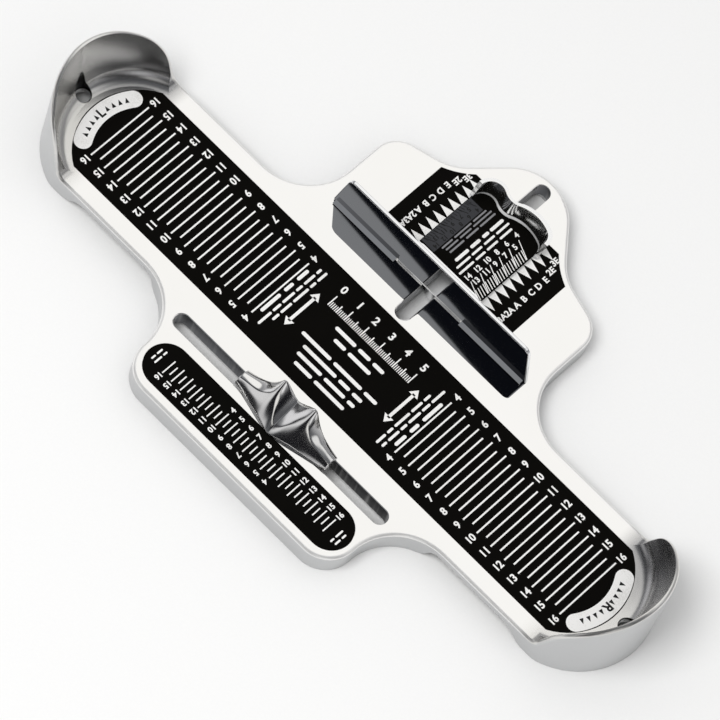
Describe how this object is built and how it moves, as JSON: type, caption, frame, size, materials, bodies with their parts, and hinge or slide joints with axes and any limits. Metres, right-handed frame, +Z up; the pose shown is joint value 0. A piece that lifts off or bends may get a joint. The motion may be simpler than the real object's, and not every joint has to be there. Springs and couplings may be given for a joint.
{
  "type": "foot measuring device",
  "caption": "Flat metal foot measuring device with a heel cup at each end, printed length and width scales, a sliding width bar and a sliding arch pointer.",
  "frame": {"origin": "on the desk, below the centre of the device's outline in plan", "axes": "+X along the foot towards the right-heel cup, +Y across it towards the width slide, +Z up"},
  "size_m": [0.3576, 0.2121, 0.0487],
  "materials": {
    "polished_aluminium": "polished",
    "black_plate": "satin",
    "steel": "satin",
    "spring_steel": "satin"
  },
  "bodies": {
    "base": {"base_casting": "polished_aluminium", "length_scale_plate": "black_plate", "arch_scale_plate": "black_plate", "width_scale_plate_left": "black_plate", "width_scale_plate_right": "black_plate"},
    "width_slide": {"width_bar": "polished_aluminium", "width_bar_rivets": "steel", "width_carriage": "polished_aluminium", "width_chart_plate": "black_plate", "width_guide_block": "polished_aluminium", "width_guide_screws": "steel", "width_spring": "spring_steel", "width_keeper": "steel", "width_keeper_screws": "steel"},
    "arch_slide": {"arch_pointer": "polished_aluminium", "arch_pointer_screws": "steel", "arch_guide_block": "polished_aluminium", "arch_spring": "spring_steel", "arch_keeper": "steel", "arch_keeper_screws": "steel"}
  },
  "joints": [
    {"name": "width_slide_joint", "type": "slide", "parent": "base", "child": "width_slide", "axis": [0, 1, 0], "range_m": [-0.02, 0.023]},
    {"name": "arch_slide_joint", "type": "slide", "parent": "base", "child": "arch_slide", "axis": [1, 0, 0], "range_m": [-0.051, 0.049]}
  ]
}
